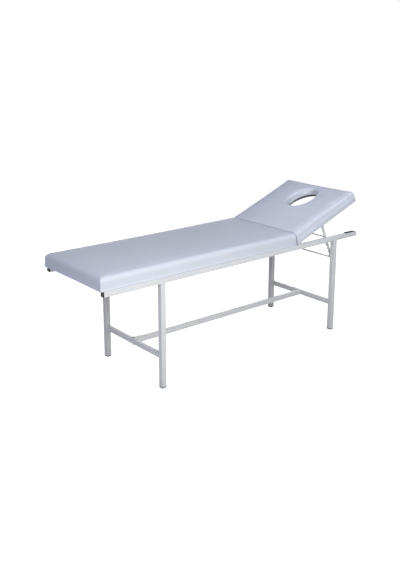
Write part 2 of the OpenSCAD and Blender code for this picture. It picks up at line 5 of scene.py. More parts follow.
import bpy
import numpy as np
from mathutils import Euler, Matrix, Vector


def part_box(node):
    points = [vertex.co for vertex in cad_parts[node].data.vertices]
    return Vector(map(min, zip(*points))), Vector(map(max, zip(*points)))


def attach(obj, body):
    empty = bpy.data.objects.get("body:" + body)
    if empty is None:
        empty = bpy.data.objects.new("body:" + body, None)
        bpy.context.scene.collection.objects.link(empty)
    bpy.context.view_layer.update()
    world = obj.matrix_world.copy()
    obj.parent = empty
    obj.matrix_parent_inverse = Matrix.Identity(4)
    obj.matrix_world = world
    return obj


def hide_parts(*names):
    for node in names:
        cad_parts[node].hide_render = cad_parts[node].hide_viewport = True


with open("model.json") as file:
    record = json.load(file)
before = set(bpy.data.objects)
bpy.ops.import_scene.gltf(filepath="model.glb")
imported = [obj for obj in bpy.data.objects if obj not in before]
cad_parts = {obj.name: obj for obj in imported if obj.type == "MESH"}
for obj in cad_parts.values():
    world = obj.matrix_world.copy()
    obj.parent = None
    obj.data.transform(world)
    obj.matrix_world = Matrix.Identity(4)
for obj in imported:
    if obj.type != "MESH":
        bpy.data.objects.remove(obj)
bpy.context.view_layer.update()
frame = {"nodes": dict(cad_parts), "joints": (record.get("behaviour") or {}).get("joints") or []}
scene = bpy.context.scene
mm = 0.001

# The camera: on a tripod in front of the couch's foot end, at a standing photographer's height,
# with a short telephoto lens, and a little shift so that the couch sits above the middle.
camera_place = (-2.80454, -3.30284, 1.82216)
camera_heading = 0.88484
camera_dip = 0.24787
sensor_width = 36.0
image_width = 400.0
focal_pixels = 764.24
axis_above_middle = 55.6
camera = bpy.data.objects.new("camera", bpy.data.cameras.new("camera"))
scene.collection.objects.link(camera)
camera.data.sensor_fit = "HORIZONTAL"
camera.data.sensor_width = sensor_width
camera.data.lens = sensor_width * focal_pixels / image_width
camera.data.shift_y = -axis_above_middle / image_width
camera.location = camera_place
camera.rotation_euler = Euler((math.pi / 2 - camera_dip, 0, camera_heading - math.pi / 2))
scene.camera = camera
scene.view_settings.view_transform = "Standard"

# The studio: a white sweep that keeps a faint shadow, five softboxes and a cool fill from the room.
# A long softbox stands low in front, a cooler one hangs above it, a small one stands at the foot
# end, a low one behind, and one with a grid lights the headrest. Each row gives a softbox's place,
# aim, size, watts, colour and spread in degrees.
floor_size = 60.0
floor_color = (0.50, 0.50, 0.50, 1)
floor_glow = 0.95
fill_strength = 0.20
fill_color = (0.70, 0.78, 1.0, 1)
softboxes = [
    ((-0.95, -2.05, 1.55), (-0.25, 0, 0.62), (3.0, 0.9), 45.0, (1.0, 0.99, 0.80), 180),
    ((-0.30, -1.90, 2.50), (-0.20, 0, 0.62), (3.4, 0.9), 39.0, (0.80, 0.88, 1.0), 180),
    ((-2.90, -0.90, 1.20), (-0.90, 0, 0.60), (1.4, 1.2), 15.0, (0.72, 0.77, 1.0), 180),
    ((2.10, 2.20, 0.55), (0.20, 0, 0.55), (3.2, 0.7), 34.0, (0.92, 0.95, 1.0), 180),
    ((-1.20, -0.60, 1.90), (0.74, 0, 0.79), (0.35, 0.35), 0.35, (0.95, 0.97, 1.0), 26),
]


def new_material(name):
    """An empty node material, as its tree and its output node."""
    material = bpy.data.materials.new(name)
    material.use_nodes = True
    material.node_tree.nodes.clear()
    return material, material.node_tree, material.node_tree.nodes.new("ShaderNodeOutputMaterial")


def is_seen(tree):
    """1 for what the camera sees straight, in a mirror or through glass: the largest of three flags."""
    path = tree.nodes.new("ShaderNodeLightPath")
    total = path.outputs["Is Camera Ray"]
    for kind in ("Is Glossy Ray", "Is Transmission Ray"):
        most = tree.nodes.new("ShaderNodeMath")
        most.operation = "MAXIMUM"
        tree.links.new(total, most.inputs[0])
        tree.links.new(path.outputs[kind], most.inputs[1])
        total = most.outputs[0]
    return total


def new_piece(name, points, faces, material):
    """A mesh object at the origin from an array of points and a list of faces."""
    mesh = bpy.data.meshes.new(name)
    mesh.from_pydata(np.asarray(points, float).reshape(-1, 3).tolist(), [], faces)
    mesh.update()
    mesh.materials.append(material)
    piece = bpy.data.objects.new(name, mesh)
    scene.collection.objects.link(piece)
    return piece


sweep, tree, output = new_material("studio_sweep")
diffuse = tree.nodes.new("ShaderNodeBsdfDiffuse")
diffuse.inputs["Color"].default_value = floor_color
glow = tree.nodes.new("ShaderNodeEmission")
glow.inputs["Color"].default_value = (floor_glow, floor_glow, floor_glow, 1)
tree.links.new(is_seen(tree), glow.inputs["Strength"])
both = tree.nodes.new("ShaderNodeAddShader")
tree.links.new(diffuse.outputs[0], both.inputs[0])
tree.links.new(glow.outputs[0], both.inputs[1])
tree.links.new(both.outputs[0], output.inputs[0])
half = floor_size / 2
new_piece("studio_floor", [(-half, -half, 0), (half, -half, 0), (half, half, 0), (-half, half, 0)],
                   [(0, 1, 2, 3)], sweep)

world = bpy.data.worlds.new("studio")
scene.world = world
world.use_nodes = True
tree = world.node_tree
tree.nodes.clear()
room = tree.nodes.new("ShaderNodeBackground")
room.inputs["Strength"].default_value = fill_strength
white = tree.nodes.new("ShaderNodeBackground")
room.inputs["Color"].default_value = fill_color
white.inputs["Color"].default_value = (1, 1, 1, 1)
pick = tree.nodes.new("ShaderNodeMixShader")
tree.links.new(is_seen(tree), pick.inputs[0])
tree.links.new(room.outputs[0], pick.inputs[1])
tree.links.new(white.outputs[0], pick.inputs[2])
tree.links.new(pick.outputs[0], tree.nodes.new("ShaderNodeOutputWorld").inputs[0])

for number, (place, aim, size, watts, color, spread) in enumerate(softboxes):
    lamp = bpy.data.lights.new("softbox_%d" % number, "AREA")
    lamp.shape = "RECTANGLE"
    lamp.size, lamp.size_y = size
    lamp.energy = watts
    lamp.color = color
    lamp.spread = math.radians(spread)
    softbox = bpy.data.objects.new(lamp.name, lamp)
    scene.collection.objects.link(softbox)
    softbox.location = place
    softbox.rotation_euler = (Vector(aim) - Vector(place)).to_track_quat("-Z", "Y").to_euler()

# The frame: square steel tube, cut, welded and powder coated in pale grey-white. The coat has a
# faint orange peel, and a little grime has gathered on it near the floor.
coat_color = (0.58, 0.58, 0.62, 1)
coat_second = (0.55, 0.55, 0.59, 1)
grime_color = (0.33, 0.33, 0.33, 1)
grime_top = 0.15
grime_per_metre = 24
coat_per_metre = 4
coat_roughness = (0.30, 0.42)
gloss_per_metre = 60
peel_per_metre = 480
peel_depth = 0.06 * mm


def add_shader(tree, output, roughness=0.5, **sockets):
    """A Principled shader on the output. Keyword names are its sockets with _ for a space."""
    skin = tree.nodes.new("ShaderNodeBsdfPrincipled")
    skin.inputs["Roughness"].default_value = roughness
    for name, value in sockets.items():
        skin.inputs[name.replace("_", " ")].default_value = value
    tree.links.new(skin.outputs[0], output.inputs[0])
    return skin


def object_place(tree, turn=(0, 0, 0), scale=(1, 1, 1)):
    """The piece's own coordinates in metres, turned or stretched by a Mapping node."""
    mapping = tree.nodes.new("ShaderNodeMapping")
    mapping.inputs["Rotation"].default_value = turn
    mapping.inputs["Scale"].default_value = scale
    tree.links.new(tree.nodes.new("ShaderNodeTexCoord").outputs["Object"], mapping.inputs["Vector"])
    return mapping.outputs[0]


def noise(tree, place, per_metre, detail=2.0, roughness=0.5):
    """Cloudy noise from 0 to 1 with so many cells to the metre."""
    texture = tree.nodes.new("ShaderNodeTexNoise")
    texture.inputs["Scale"].default_value = per_metre
    texture.inputs["Detail"].default_value = detail
    texture.inputs["Roughness"].default_value = roughness
    tree.links.new(place, texture.inputs["Vector"])
    return texture.outputs[0]


def span(tree, value, low, high, to_low, to_high):
    """The value between low and high, carried to a new pair of ends and held there."""
    carry = tree.nodes.new("ShaderNodeMapRange")
    for name, number in (("From Min", low), ("From Max", high), ("To Min", to_low), ("To Max", to_high)):
        carry.inputs[name].default_value = number
    tree.links.new(value, carry.inputs["Value"])
    return carry.outputs[0]


def clouds(tree, place, per_metre, detail, low, high):
    """Cloudy noise carried to low and high. Most of it lies between 0.3 and 0.7."""
    return span(tree, noise(tree, place, per_metre, detail), 0.3, 0.7, low, high)


def join(tree, operation, first, second):
    """Two values joined by a Math node. The second may be a number."""
    node = tree.nodes.new("ShaderNodeMath")
    node.operation = operation
    tree.links.new(first, node.inputs[0])
    if isinstance(second, (int, float)):
        node.inputs[1].default_value = second
    else:
        tree.links.new(second, node.inputs[1])
    return node.outputs[0]


def mix_color(tree, share, first, second):
    """A colour from first to second by a share. Each is a colour or a socket."""
    blend = tree.nodes.new("ShaderNodeMix")
    blend.data_type = "RGBA"
    tree.links.new(share, blend.inputs[0])
    for socket, color in ((blend.inputs[6], first), (blend.inputs[7], second)):
        if isinstance(color, tuple):
            socket.default_value = color
        else:
            tree.links.new(color, socket)
    return blend.outputs[2]


def add_relief(tree, skin, height, depth, strength=1.0):
    """Relief on the shader from a height of 0 to 1 and its depth in metres, over any earlier relief."""
    relief = tree.nodes.new("ShaderNodeBump")
    relief.inputs["Distance"].default_value = depth
    relief.inputs["Strength"].default_value = strength
    tree.links.new(height, relief.inputs["Height"])
    if skin.inputs["Normal"].is_linked:
        tree.links.new(skin.inputs["Normal"].links[0].from_socket, relief.inputs["Normal"])
    tree.links.new(relief.outputs[0], skin.inputs["Normal"])


def height_above_floor(tree):
    """The Z of the piece's own coordinates."""
    parts = tree.nodes.new("ShaderNodeSeparateXYZ")
    tree.links.new(object_place(tree), parts.inputs[0])
    return parts.outputs["Z"]


def finish_nodes(material, *names):
    """Gives CAD nodes a material in all of their material slots."""
    for name in names:
        for place in frame["nodes"][name].material_slots:
            place.material = material


coat, tree, output = new_material("powder_coat")
skin = add_shader(tree, output, Coat_Weight=0.1, Coat_Roughness=0.15)
place = object_place(tree)
low_down = span(tree, height_above_floor(tree), 0.0, grime_top, 0.7, 0.0)
specks = span(tree, noise(tree, place, grime_per_metre, 4), 0.40, 0.75, 0.0, 1.0)
grime = join(tree, "MULTIPLY", low_down, specks)
tone = mix_color(tree, clouds(tree, place, coat_per_metre, 2, 0.0, 1.0), coat_color, coat_second)
tree.links.new(mix_color(tree, grime, tone, grime_color), skin.inputs["Base Color"])
tree.links.new(clouds(tree, place, gloss_per_metre, 3, *coat_roughness), skin.inputs["Roughness"])
add_relief(tree, skin, noise(tree, place, peel_per_metre, 1), peel_depth, 0.5)
tube_nodes = [name for name in frame["nodes"] if name.endswith(("_rail", "_tube", "rail_near", "rail_far"))]
tube_nodes += [name for name in frame["nodes"] if "_leg_" in name]
finish_nodes(coat, *tube_nodes, "stretcher", "stretcher_tongue", "catch_rod")

# The welds: a bead runs round each joint of the frame, with the ripples of its puddle softened by
# the powder coat.
bead_r = 2.1 * mm
bead_ripple = 0.13
ripple_pitch = 4.0 * mm
bead_step = 1.2 * mm
bead_round = 10
corner_points = 8
tube_r = 3 * mm
deck_weld_drop = 1.5 * mm


def grid_faces(rows, columns, first=0):
    """The quads of a grid of rows and columns that closes on itself along its rows."""
    j, i = np.meshgrid(np.arange(rows - 1), np.arange(columns), indexing="ij")
    k = (i + 1) % columns
    quads = np.stack([j * columns + i, (j + 1) * columns + i, (j + 1) * columns + k, j * columns + k], -1)
    return (quads.reshape(-1, 4) + first).tolist()


def rounded_path(half_a, half_b, radius, step):
    """Points of a rounded rectangle at an even step: four quarter arcs joined by straight runs."""
    turns = np.linspace(0, math.pi / 2, corner_points)
    corners = [(1, 1), (-1, 1), (-1, -1), (1, -1)]
    points = np.concatenate([
        np.stack([sa * (half_a - radius) + radius * np.cos(turns + q * math.pi / 2),
                  sb * (half_b - radius) + radius * np.sin(turns + q * math.pi / 2)], 1)
        for q, (sa, sb) in enumerate(corners)])
    closed = np.vstack([points, points[:1]])
    along = np.concatenate([[0], np.cumsum(np.linalg.norm(np.diff(closed, axis=0), axis=1))])
    even = np.arange(0, along[-1], along[-1] / round(along[-1] / step))
    return np.stack([np.interp(even, along, closed[:, 0]), np.interp(even, along, closed[:, 1])], 1)


def bead(centre, axis_a, axis_b, half_a, half_b, radius):
    """A round bead along a rounded rectangle in a joint's plane. Its radius swells and sinks along
    the path with the sine of the distance over the ripple pitch."""
    flat = rounded_path(half_a, half_b, radius, bead_step)
    a, b = np.array(axis_a, float), np.array(axis_b, float)
    path = np.array(centre) + flat[:, :1] * a + flat[:, 1:] * b
    tangent = np.roll(path, -1, 0) - np.roll(path, 1, 0)
    tangent /= np.linalg.norm(tangent, axis=1, keepdims=True)
    up = np.cross(a, b)
    side = np.cross(tangent, up)
    turn = np.linspace(0, 2 * math.pi, bead_round, endpoint=False)
    size = bead_r * (1 + bead_ripple * np.sin(np.arange(len(path)) * bead_step / ripple_pitch * 2 * math.pi))
    around = np.cos(turn)[None, :, None] * up + np.sin(turn)[None, :, None] * side[:, None]
    return path[:, None] + size[:, None, None] * around


def join_closed(loops):
    """Points and faces of tubes that close on themselves along and around."""
    points, faces, first = [], [], 0
    for loop in loops:
        closed = np.concatenate([loop, loop[:1]])
        rows, columns = closed.shape[:2]
        quads = np.array(grid_faces(rows, columns))
        quads[quads >= (rows - 1) * columns] -= (rows - 1) * columns
        faces += (quads + first).tolist()
        points.append(loop.reshape(-1, 3))
        first += len(points[-1])
    return np.concatenate(points), faces


def middle(name):
    """The middle of a CAD node's box, as an array."""
    low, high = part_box(name)
    return (np.array(low) + np.array(high)) / 2


def half_size(name):
    """Half the sides of a CAD node's box, as an array."""
    low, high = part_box(name)
    return (np.array(high) - np.array(low)) / 2


x_axis, y_axis, z_axis = np.eye(3)
beads = []
tube_half = half_size("foot_leg_near")[0]
for leg in ("foot_leg_near", "foot_leg_far", "head_leg_near", "head_leg_far"):
    top = middle(leg) + half_size(leg) * z_axis
    beads.append(bead(top, x_axis, y_axis, tube_half, tube_half, tube_r))
for brace in ("foot_cross_rail", "head_cross_rail"):
    size = half_size(brace)
    for side in (-1, 1):
        beads.append(bead(middle(brace) + side * size * y_axis, z_axis, x_axis, size[2], size[0], tube_r))
stretcher_half = half_size("stretcher")
stretcher_end = middle("stretcher") + stretcher_half * x_axis
beads.append(bead(stretcher_end, y_axis, z_axis, stretcher_half[1], stretcher_half[2], tube_r))
for deck in ("foot_deck_tube", "middle_deck_tube", "hinge_deck_tube"):
    size = half_size(deck)
    for side in (-1, 1):
        centre = middle(deck) + side * size * y_axis - deck_weld_drop * z_axis
        beads.append(bead(centre, z_axis, x_axis, size[2] - deck_weld_drop, size[0], tube_r))
rod_half = half_size("catch_rod")
rod_r = rod_half[2] * 0.99
for side in (-1, 1):
    centre = middle("catch_rod") + side * rod_half * y_axis
    beads.append(bead(centre, z_axis, x_axis, rod_half[2], rod_half[0], rod_r))
points, faces = join_closed(beads)
welds = new_piece("weld_beads", points, faces, coat)
welds.data.shade_smooth()
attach(welds, "frame")

# The plugs in the rails' ends and the feet on the legs: moulded black polyethylene with a fine
# spark-eroded texture, scuffed grey where it meets the floor.
plastic_color = (0.018, 0.018, 0.020, 1)
scuff_color = (0.10, 0.10, 0.10, 1)
scuff_top = 8 * mm
scuff_per_metre = 300
plastic_roughness = (0.42, 0.58)
plastic_per_metre = 150
spark_per_metre = 1600
spark_depth = 0.05 * mm
plastic, tree, output = new_material("black_polyethylene")
skin = add_shader(tree, output, Specular_IOR_Level=0.4)
place = object_place(tree)
low_down = span(tree, height_above_floor(tree), 0.0, scuff_top, 1.0, 0.0)
specks = span(tree, noise(tree, place, scuff_per_metre, 4), 0.45, 0.65, 0.0, 1.0)
scuffs = join(tree, "MULTIPLY", low_down, specks)
tree.links.new(mix_color(tree, scuffs, plastic_color, scuff_color), skin.inputs["Base Color"])
tree.links.new(clouds(tree, place, plastic_per_metre, 3, *plastic_roughness), skin.inputs["Roughness"])
add_relief(tree, skin, noise(tree, place, spark_per_metre, 2), spark_depth, 0.6)
finish_nodes(plastic, "rail_end_plugs", "leg_feet")

# Rubber: the buffers on the rails' head ends and the thick washers under the main pad. It is
# matte, and dust makes it patchy.
rubber_color = (0.030, 0.030, 0.032, 1)
dust_color = (0.085, 0.083, 0.080, 1)
dust_per_metre = 70
rubber_per_metre = 900
rubber_depth = 0.08 * mm
rubber, tree, output = new_material("black_rubber")
skin = add_shader(tree, output, roughness=0.75, Specular_IOR_Level=0.3)
place = object_place(tree)
dust = span(tree, noise(tree, place, dust_per_metre, 4, 0.6), 0.45, 0.75, 0.0, 0.7)
tree.links.new(mix_color(tree, dust, rubber_color, dust_color), skin.inputs["Base Color"])
add_relief(tree, skin, noise(tree, place, rubber_per_metre, 2), rubber_depth, 0.6)
finish_nodes(rubber, "rest_buffers", "pad_washers")

# Dark plated steel: the stretcher's bolt and nut, the hinge pins, and the screws and clips. Fine
# drawing lines run round it, and the plating is a little uneven.
dark_color = (0.20, 0.205, 0.22, 1)
dark_second = (0.13, 0.132, 0.14, 1)
dark_per_metre = 90
dark_roughness = (0.28, 0.45)
dark_gloss_per_metre = 220
drawn_per_metre = 2600
drawn_stretch = (1, 0.03, 1)
drawn_depth = 0.02 * mm
dark_steel, tree, output = new_material("dark_plated_steel")
skin = add_shader(tree, output, Metallic=0.9)
place = object_place(tree)
tone = span(tree, noise(tree, place, dark_per_metre, 3), 0.35, 0.7, 0.0, 1.0)
tree.links.new(mix_color(tree, tone, dark_color, dark_second), skin.inputs["Base Color"])
tree.links.new(clouds(tree, place, dark_gloss_per_metre, 3, *dark_roughness), skin.inputs["Roughness"])
drawn = noise(tree, object_place(tree, scale=drawn_stretch), drawn_per_metre, 1)
add_relief(tree, skin, drawn, drawn_depth, 0.5)
finish_nodes(dark_steel, "stretcher_bolt", "stretcher_nut", "hinge_pins", "fixed_leaf_screws",
             "moving_leaf_screws", "bracket_screws", "pivot_clips")

# Zinc-plated steel: the hinge leaves, arm brackets, pivot pins, and the bolts and tee nuts that
# hold the pads. The plating is spangled, with a cool cast.
zinc_color = (0.58, 0.60, 0.63, 1)
zinc_second = (0.46, 0.47, 0.49, 1)
zinc_roughness = (0.26, 0.42)
spangle_per_metre = 260
zinc_per_metre = 1200
zinc_depth = 0.02 * mm
zinc, tree, output = new_material("zinc_plate")
skin = add_shader(tree, output, Metallic=1.0)
place = object_place(tree)
cells = tree.nodes.new("ShaderNodeTexVoronoi")
cells.inputs["Scale"].default_value = spangle_per_metre
tree.links.new(place, cells.inputs["Vector"])
grey = tree.nodes.new("ShaderNodeSeparateColor")
tree.links.new(cells.outputs["Color"], grey.inputs[0])
tree.links.new(mix_color(tree, grey.outputs[0], zinc_color, zinc_second), skin.inputs["Base Color"])
tree.links.new(span(tree, grey.outputs[1], 0.0, 1.0, *zinc_roughness), skin.inputs["Roughness"])
add_relief(tree, skin, noise(tree, place, zinc_per_metre, 2), zinc_depth, 0.5)
finish_nodes(zinc, "pad_bolts", "tee_nuts", "fixed_hinge_leaves", "moving_hinge_leaves",
             "arm_brackets", "arm_pivot_pins")

# The boards: birch plywood with its grain along the couch, seen only from below. The headrest's
# veneer is turned with it.
veneer_pale = (0.60, 0.43, 0.26, 1)
veneer_dark = (0.40, 0.26, 0.14, 1)
streak_per_metre = 110
streak_stretch = (0.06, 1, 0.2)
veneer_per_metre = 7
veneer_stretch = (0.3, 1, 1)
veneer_depth = 0.12 * mm
tilt = math.radians(21)


def plywood(name, turn):
    """Veneer: long streaks of noise, drawn out along the board, over a cloudy second tone."""
    material, tree, output = new_material(name)
    skin = add_shader(tree, output, roughness=0.6, Specular_IOR_Level=0.35)
    streak = noise(tree, object_place(tree, turn, streak_stretch), streak_per_metre, 5, 0.62)
    cloud = noise(tree, object_place(tree, turn, veneer_stretch), veneer_per_metre, 2)
    share = join(tree, "MULTIPLY", span(tree, streak, 0.35, 0.72, 0.0, 1.0),
                 span(tree, cloud, 0.3, 0.7, 0.35, 1.0))
    tree.links.new(mix_color(tree, share, veneer_pale, veneer_dark), skin.inputs["Base Color"])
    add_relief(tree, skin, streak, veneer_depth, 0.7)
    return material


finish_nodes(plywood("birch_veneer", (0, 0, 0)), "main_board")
finish_nodes(plywood("birch_veneer_turned", (0, tilt, 0)), "headrest_board")

# The main pad: pale lavender-grey upholstery vinyl over firm foam, pulled round the board's edge
# and stapled below. The cover is relaxed as cloth with the foam pushing from inside.
vinyl_color = (0.56, 0.575, 0.665, 1)
vinyl_second = (0.53, 0.545, 0.64, 1)
# The colour that the pebble grain's valleys are darkened towards: painted shade.
valley_shade_color = (0.46, 0.47, 0.57, 1)
vinyl_roughness = (0.40, 0.52)
vinyl_per_metre = 5
pebbles_per_metre = 780
pebble_depth = 0.10 * mm
folds_per_metre = 190
fold_depth = 0.16 * mm
# The cover's section: heights over the pad's underside, roundings, insets and the hem.
pad_t = 75.7 * mm
board_top = 16.5 * mm
cover_t = 1.2 * mm
shoulder_w = 25 * mm
shoulder_h = 28 * mm
facing_share = 0.14
corner_r = 12 * mm
facing_corner_r = 6 * mm
side_bow = 2.5 * mm
hem_w = 22 * mm
hem_r = 5 * mm
hem_proud = 0.3 * mm
hem_middle = 12 * mm
board_in = 8.2 * mm
end_slope = math.tan(math.radians(5))
# The relaxing: the crown and inset that the cover starts with, and how far a point may move.
crown = 1.2 * mm
start_in = 1.6 * mm
move_limit = 3.2 * mm
facing_limit = 1.7 * mm
facing_reach = 60 * mm
relax_frames = 20
# The grid's rows and columns, the dips at the staples, and the folds at the corners.
corner_columns = 10
shoulder_rows, side_rows, under_rows = 9, 8, 5
held_rows = 8
staple_pitch = 38 * mm
dip_depth, dip_height = 0.35 * mm, 24 * mm
fold_proud, fold_length, fold_end = 0.9 * mm, 6 * mm, 30 * mm
fold_top, fold_fade = 40 * mm, 20 * mm
# The pads' own frames start on the hinge's axis, at the boards' underside.
hinge = np.array(frame["joints"][0]["pos_m"], float)
pad_origin = hinge + np.array([0, 0, 4 * mm])

vinyl, tree, output = new_material("upholstery_vinyl")
skin = add_shader(tree, output, Specular_IOR_Level=0.2)
place = object_place(tree)
pebbles = tree.nodes.new("ShaderNodeTexVoronoi")
pebbles.inputs["Scale"].default_value = pebbles_per_metre
tree.links.new(place, pebbles.inputs["Vector"])
folds = noise(tree, place, folds_per_metre, 4, 0.6)
tone = mix_color(tree, clouds(tree, place, vinyl_per_metre, 3, 0.0, 1.0), vinyl_color, vinyl_second)
# Painted shade: the grain is darker in the valleys between its pebbles, where the relief sinks.
painted_valley_shade = span(tree, pebbles.outputs["Distance"], 0.35, 0.8, 0.0, 0.35)
tree.links.new(mix_color(tree, painted_valley_shade, tone, valley_shade_color), skin.inputs["Base Color"])
tree.links.new(span(tree, folds, 0.3, 0.7, *vinyl_roughness), skin.inputs["Roughness"])
add_relief(tree, skin, folds, fold_depth, 0.5)
add_relief(tree, skin, join(tree, "MULTIPLY", pebbles.outputs["Distance"], -1.0), pebble_depth, 0.5)


def outline(length, width, end, inset, along, across):
    """A rounded rectangle drawn in by an inset, anticlockwise from its first corner at +X +Y. Its
    sides are straight runs bowed inwards by a sine. Its corners are quarter circles, tighter at the
    end that faces the other pad, which is +X where end is 1."""
    hx, hy = length / 2 - inset, width / 2 - inset
    turn = np.linspace(0, math.pi / 2, corner_columns + 1)
    arcs = []
    for q, (sx, sy) in enumerate(((1, 1), (-1, 1), (-1, -1), (1, -1))):
        radius = min((facing_corner_r if sx == end else corner_r) + inset / 4, 0.9 * min(hx, hy))
        arcs.append(np.stack([sx * (hx - radius) + radius * np.cos(turn + q * math.pi / 2),
                              sy * (hy - radius) + radius * np.sin(turn + q * math.pi / 2)], 1))
    pull = side_bow * max(0, 1 - 2 * inset / width)
    parts = []
    for q in range(4):
        start, stop = arcs[q][-1], arcs[(q + 1) % 4][0]
        share = np.linspace(0, 1, (along if q % 2 == 0 else across) + 1)[1:-1, None]
        run = (stop - start) / np.linalg.norm(stop - start)
        bow = np.array([-run[1], run[0]]) * pull * np.sin(math.pi * share)
        parts += [arcs[q], start + (stop - start) * share + bow]
    return np.concatenate(parts)


def ring(size, end, row, counts):
    """The outline at a row's inset and height. The facing end leans back with the height, and grows
    by the row's third number, because its rounding is narrower than that of the other sides."""
    (length, width, centre), (inset, z, grow) = size, row
    more = grow - end_slope * z
    flat = outline(length + more, width, end, inset, *counts)
    return np.column_stack([flat[:, 0] + centre + end * more / 2, flat[:, 1], np.full(len(flat), z)])


def outer_section():
    """Inset, height and growth down the pad's outside, from the edge of the flat top to the hem: a
    quarter ellipse, the upright side, and a quarter circle under the bottom edge."""
    turn = np.linspace(math.pi / 2, 0, shoulder_rows)
    inset = shoulder_w - (shoulder_w - start_in) * np.cos(turn)
    shoulder = np.column_stack([inset, pad_t - shoulder_h + (shoulder_h - start_in) * np.sin(turn),
                                (1 - facing_share) * (inset - start_in)])
    heights = np.linspace(pad_t - shoulder_h, hem_r, side_rows)[1:-1]
    side = np.column_stack([np.full(len(heights), start_in), heights, np.zeros(len(heights))])
    turn = np.linspace(0, math.pi / 2, under_rows)
    under = np.column_stack([hem_r - (hem_r - hem_proud) * np.cos(turn), hem_r - hem_r * np.sin(turn),
                             np.zeros(under_rows)])
    hem = [(hem_middle, 0, 0), (hem_w, 0, 0), (hem_w, cover_t, 0),
           (board_in, cover_t, 0), (board_in, board_top, 0)]
    return np.concatenate([shoulder, side, under, hem])


def place_in_couch(points, angle):
    """Points of a pad's own frame in the couch's: turned about the hinge, then moved to it."""
    lifted = points + (pad_origin - hinge)
    turned = np.column_stack([lifted[:, 0] * math.cos(angle) - lifted[:, 2] * math.sin(angle), lifted[:, 1],
                              lifted[:, 0] * math.sin(angle) + lifted[:, 2] * math.cos(angle)])
    return turned + hinge


def mesh_points(piece):
    """A mesh's points as an array."""
    flat = np.empty(3 * len(piece.data.vertices), np.float32)
    piece.data.vertices.foreach_get("co", flat)
    return flat.reshape(-1, 3).astype(float)


def set_points(piece, points):
    """Writes an array of points into a mesh."""
    piece.data.vertices.foreach_set("co", np.asarray(points, np.float32).ravel())
    piece.data.update()


def relax(piece, held, limit):
    """Runs a cover as cloth that the foam pushes outwards, with its held points fixed. A point that
    the cloth moved by m is moved by limit * tanh(m / limit)."""
    pins = piece.vertex_groups.new(name="held")
    pins.add(held.tolist(), 1.0, "REPLACE")
    cloth_and_shade_band = piece.modifiers.new("cloth_and_shade_band", "CLOTH")
    settings = cloth_and_shade_band.settings
    settings.quality = 4
    settings.mass = 0.4
    settings.tension_stiffness = settings.compression_stiffness = 60
    settings.shear_stiffness = 30
    settings.bending_stiffness = 4
    settings.use_pressure = True
    settings.uniform_pressure_force = 4
    settings.vertex_group_mass = "held"
    settings.effector_weights.gravity = 0
    for number in range(1, relax_frames + 1):
        scene.frame_set(number)
    start = mesh_points(piece)
    end = mesh_points(piece.evaluated_get(bpy.context.evaluated_depsgraph_get()))
    piece.modifiers.remove(cloth_and_shade_band)
    piece.vertex_groups.remove(pins)
    move = end - start
    length = np.maximum(np.linalg.norm(move, axis=1, keepdims=True), 1e-9)
    set_points(piece, start + move / length * limit[:, None] * np.tanh(length / limit[:, None]))
    scene.frame_set(1)


def limits(points, facing_x):
    """How far each point may move. The limit falls evenly towards the end that faces the other pad."""
    near = np.clip(1 - np.abs(facing_x - points[:, 0]) / facing_reach, 0, 1)
    return move_limit + (facing_limit - move_limit) * near


def corner_middles(counts):
    """The outline's columns at the middles of its four corners."""
    found = [corner_columns // 2]
    for count in (counts[0], counts[1], counts[0]):
        found.append(found[-1] + corner_columns + count)
    return found


def gather(rows, heights, end, counts):
    """Pulls the cover in at its staples and folds it at its free corners: near the bottom the side
    dips with a cosine along the edge, and before a corner's middle it stands out, by a height that
    grows to a step there."""
    step = np.roll(rows, -1, 1) - np.roll(rows, 1, 1)
    outward = np.stack([step[..., 1], -step[..., 0], np.zeros(step.shape[:2])], -1)
    outward /= np.linalg.norm(outward, axis=-1, keepdims=True)
    edge = rows[shoulder_rows - 1]
    along = np.concatenate([[0], np.cumsum(np.linalg.norm(np.diff(edge, axis=0), axis=1))])
    low = np.clip(1 - heights / dip_height, 0, 1)[:, None] ** 2
    push = -dip_depth * low * (0.5 + 0.5 * np.cos(2 * math.pi * along / staple_pitch))
    free = np.clip((fold_top - heights) / fold_fade, 0, 1)[:, None]
    middle_x = (edge[:, 0].max() + edge[:, 0].min()) / 2
    for number in corner_middles(counts):
        if (edge[number, 0] - middle_x) * end < 0:
            before = along[number] - along
            fold = np.where((before >= 0) & (before < fold_end), np.exp(-before / fold_length), 0.0)
            push = push + fold_proud * free * fold
    return rows + outward * push[..., None]


def pad_staples(name, paths, angle, body):
    """Staples along paths under a hem: half-round wires that lie along the edge, one every pitch."""
    wire = 0.55 * mm
    length = 5.2 * mm
    turn = np.linspace(0, math.pi, 5)
    share = np.array([-1, -0.98, -0.9, 0.9, 0.98, 1])
    squeeze = np.array([0.0, 0.7, 1, 1, 0.7, 0.0])
    points, faces, first = [], [], 0
    for path in paths:
        closed = np.vstack([path, path[:1]])
        along = np.concatenate([[0], np.cumsum(np.linalg.norm(np.diff(closed, axis=0), axis=1))])
        at = np.arange(staple_pitch / 2, along[-1], along[-1] / round(along[-1] / staple_pitch))
        spot = np.column_stack([np.interp(at, along, closed[:, k]) for k in range(3)])
        ahead = np.column_stack([np.interp(at + 1 * mm, along, closed[:, k]) for k in range(3)])
        run = (ahead - spot) / np.linalg.norm(ahead - spot, axis=1, keepdims=True)
        side = np.cross(run, z_axis)
        wires = (spot[:, None, None] + run[:, None, None] * (share * length)[None, :, None, None]
                 + side[:, None, None] * (squeeze[:, None] * np.cos(turn) * wire)[None, ..., None]
                 - z_axis * (squeeze[:, None] * np.sin(turn) * wire)[None, ..., None])
        for w in wires:
            rows, columns = w.shape[:2]
            faces += grid_faces(rows, columns, first)
            points.append(w.reshape(-1, 3))
            first += rows * columns
    piece = new_piece(name, place_in_couch(np.concatenate(points), angle), faces, zinc)
    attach(piece, body)


